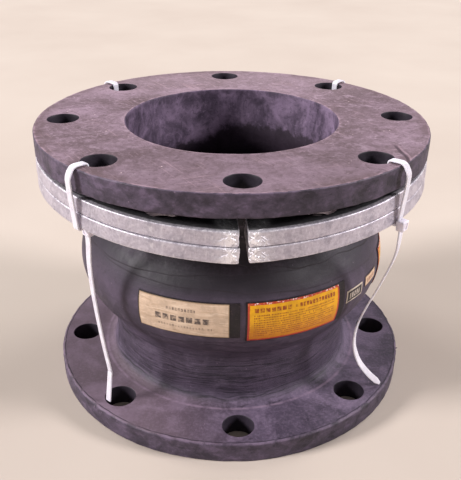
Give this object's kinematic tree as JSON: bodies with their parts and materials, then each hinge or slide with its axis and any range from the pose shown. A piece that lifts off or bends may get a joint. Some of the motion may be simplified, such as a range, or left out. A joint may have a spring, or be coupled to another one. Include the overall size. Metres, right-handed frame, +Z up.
{
  "type": "rubber expansion joint",
  "caption": "Flanged rubber pipe expansion joint with one flowing arch, split steel retaining rings strapped under the upper flange and curved labels on the arch.",
  "frame": {"origin": "centre of the lower flange's sealing face, on the bore's axis", "axes": "+Z up along the bore from the lower to the upper flange; -Y towards the maker's label and the split of the retaining rings; +X to the right seen from there"},
  "size_m": [0.2806, 0.2806, 0.202],
  "materials": {
    "cover_rubber": "matt, dusty",
    "tube_rubber": "matt, dusty",
    "ply_fabric": "rubbered fabric",
    "body_ring_steel": "drawn rod",
    "galvanised_steel": "hot-dip galvanised",
    "white_nylon": "satin moulding",
    "black_backing": "smooth, slight gloss",
    "cream_label": "printed tape",
    "yellow_label": "printed tape",
    "black_label": "printed tape"
  },
  "bodies": {
    "lower_end": {"lower_tube": "tube_rubber", "lower_inner_plies": "ply_fabric", "lower_outer_plies": "ply_fabric", "lower_cover": "cover_rubber", "lower_neck_ring": "body_ring_steel"},
    "lower_foot": {"lower_arch_ring": "body_ring_steel"},
    "lower_crown": {"arch_cover": "cover_rubber", "arch_outer_plies": "ply_fabric", "maker_label_backing": "black_backing", "maker_label": "cream_label", "warning_label_backing": "black_backing", "warning_label": "yellow_label", "material_label": "black_label", "size_label": "cream_label", "side_warning_backing": "black_backing", "side_warning_label": "yellow_label"},
    "upper_crown": {"arch_tube": "tube_rubber", "arch_inner_plies": "ply_fabric"},
    "upper_foot": {"upper_arch_ring": "body_ring_steel"},
    "upper_end": {"upper_tube": "tube_rubber", "upper_inner_plies": "ply_fabric", "upper_outer_plies": "ply_fabric", "upper_cover": "cover_rubber", "upper_neck_ring": "body_ring_steel", "front_left_tie": "white_nylon", "front_right_tie": "white_nylon", "back_left_tie": "white_nylon", "back_right_tie": "white_nylon", "front_left_tail": "white_nylon", "front_right_tail": "white_nylon", "back_left_tail": "white_nylon", "back_right_tail": "white_nylon"},
    "left_rings": {"left_upper_ring_half": "galvanised_steel", "left_lower_ring_half": "galvanised_steel"},
    "right_rings": {"right_upper_ring_half": "galvanised_steel", "right_lower_ring_half": "galvanised_steel"}
  },
  "joints": [
    {"name": "lateral_x", "type": "slide", "parent": "lower_end", "child": "lower_foot", "axis": [1, 0, 0], "range_m": [-0.0127, 0.0127], "stiffness_N_per_m": 93000},
    {"name": "lateral_y", "type": "slide", "parent": "lower_foot", "child": "lower_crown", "axis": [0, 1, 0], "range_m": [-0.0127, 0.0127], "stiffness_N_per_m": 93000},
    {"name": "axial_travel", "type": "slide", "parent": "lower_crown", "child": "upper_crown", "axis": [0, 0, 1], "range_m": [-0.0127, 0.00635], "stiffness_N_per_m": 74000, "deforming": ["arch_tube", "arch_inner_plies", "arch_outer_plies", "arch_cover", "maker_label_backing", "maker_label", "warning_label_backing", "warning_label", "material_label", "size_label", "side_warning_backing", "side_warning_label", "front_left_tail", "front_right_tail", "back_left_tail", "back_right_tail"]},
    {"name": "bend_about_x", "type": "hinge", "parent": "upper_crown", "child": "upper_foot", "pos_m": [0, 0, 0.1], "axis": [1, 0, 0], "range_deg": [-4.75, 4.75], "stiffness_Nm_per_rad": 540},
    {"name": "bend_about_y", "type": "hinge", "parent": "upper_foot", "child": "upper_end", "pos_m": [0, 0, 0.1], "axis": [0, 1, 0], "range_deg": [-4.75, 4.75], "stiffness_Nm_per_rad": 540},
    {"name": "left_rings_rock", "type": "hinge", "parent": "upper_end", "child": "left_rings", "pos_m": [-0.1397, 0, 0.1838], "axis": [0, -1, 0], "range_deg": [0, 1.6]},
    {"name": "right_rings_rock", "type": "hinge", "parent": "upper_end", "child": "right_rings", "pos_m": [0.1397, 0, 0.1838], "axis": [0, 1, 0], "range_deg": [0, 1.6]}
  ]
}
